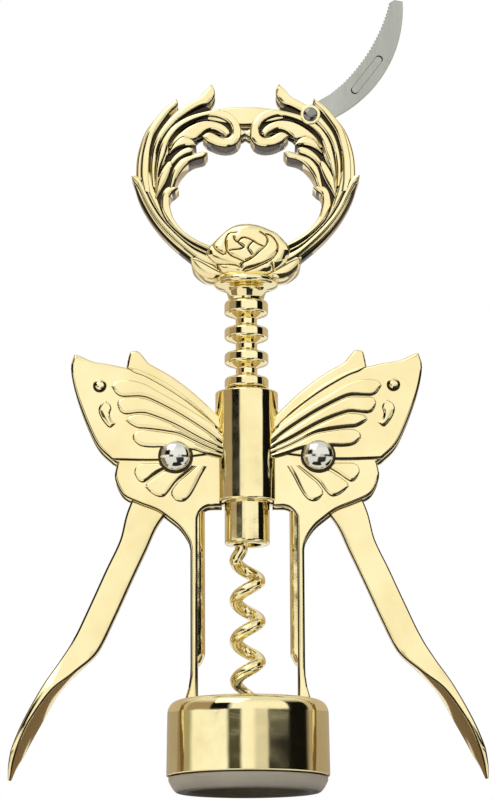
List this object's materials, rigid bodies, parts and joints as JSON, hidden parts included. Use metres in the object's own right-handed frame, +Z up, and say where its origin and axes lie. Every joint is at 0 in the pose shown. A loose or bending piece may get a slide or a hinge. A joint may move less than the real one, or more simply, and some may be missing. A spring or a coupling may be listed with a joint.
{
  "type": "wing corkscrew",
  "caption": "Wing corkscrew: geared levers on a bell-footed frame lift a collared rack with a worm; ring handle with a folding foil blade.",
  "frame": {"origin": "centre of the bottle guide's bottom face, on the screw axis", "axes": "+Z up along the screw axis to the ring handle, +X towards the right-hand lever, -Y towards the front"},
  "size_m": [0.1192, 0.0402, 0.2026],
  "materials": {
    "gold": "polished champagne-gold plating",
    "rivet_steel": "polished",
    "blade_steel": "fine brushed",
    "guide_plastic": "matt moulded",
    "nylon": "matt"
  },
  "bodies": {
    "frame": {"frame_casting": "gold", "bottle_guide_insert": "guide_plastic", "pivot_rivet_left": "rivet_steel", "pivot_rivet_cap_left": "rivet_steel", "pivot_rivet_right": "rivet_steel", "pivot_rivet_cap_right": "rivet_steel", "lever_washer_left_front": "nylon", "lever_washer_left_back": "nylon", "lever_washer_right_front": "nylon", "lever_washer_right_back": "nylon"},
    "rack": {"rack_sleeve": "gold", "thrust_washer": "rivet_steel"},
    "handle": {"handle_ring": "gold", "handle_pin": "rivet_steel", "worm": "gold", "worm_ferrule": "gold", "ferrule_pin": "rivet_steel", "blade_rivet": "rivet_steel", "blade_washer_front": "rivet_steel", "blade_washer_back": "rivet_steel"},
    "blade": {"foil_blade": "blade_steel"},
    "left_arm": {"lever_left": "gold"},
    "right_arm": {"lever_right": "gold"}
  },
  "joints": [
    {"name": "rack_travel", "type": "slide", "parent": "frame", "child": "rack", "axis": [0, 0, -1], "range_m": [0, 0.024]},
    {"name": "handle_spin", "type": "hinge", "parent": "rack", "child": "handle", "pos_m": [0, 0, 0.0735], "axis": [0, 0, -1], "continuous": true},
    {"name": "blade_fold", "type": "hinge", "parent": "handle", "child": "blade", "pos_m": [0.01645, 0, 0.171], "axis": [0, -1, 0], "range_deg": [0, 126]},
    {"name": "left_arm_swing", "type": "hinge", "parent": "frame", "child": "left_arm", "pos_m": [-0.0177, 0, 0.083], "axis": [0, 1, 0], "range_deg": [0, 104.2]},
    {"name": "right_arm_swing", "type": "hinge", "parent": "frame", "child": "right_arm", "pos_m": [0.0177, 0, 0.083], "axis": [0, -1, 0], "range_deg": [0, 104.2]}
  ],
  "couplings": [
    {"joint": "left_arm_swing", "follows": "rack_travel", "rad_per_m": 75.756},
    {"joint": "right_arm_swing", "follows": "rack_travel", "rad_per_m": 75.756}
  ]
}
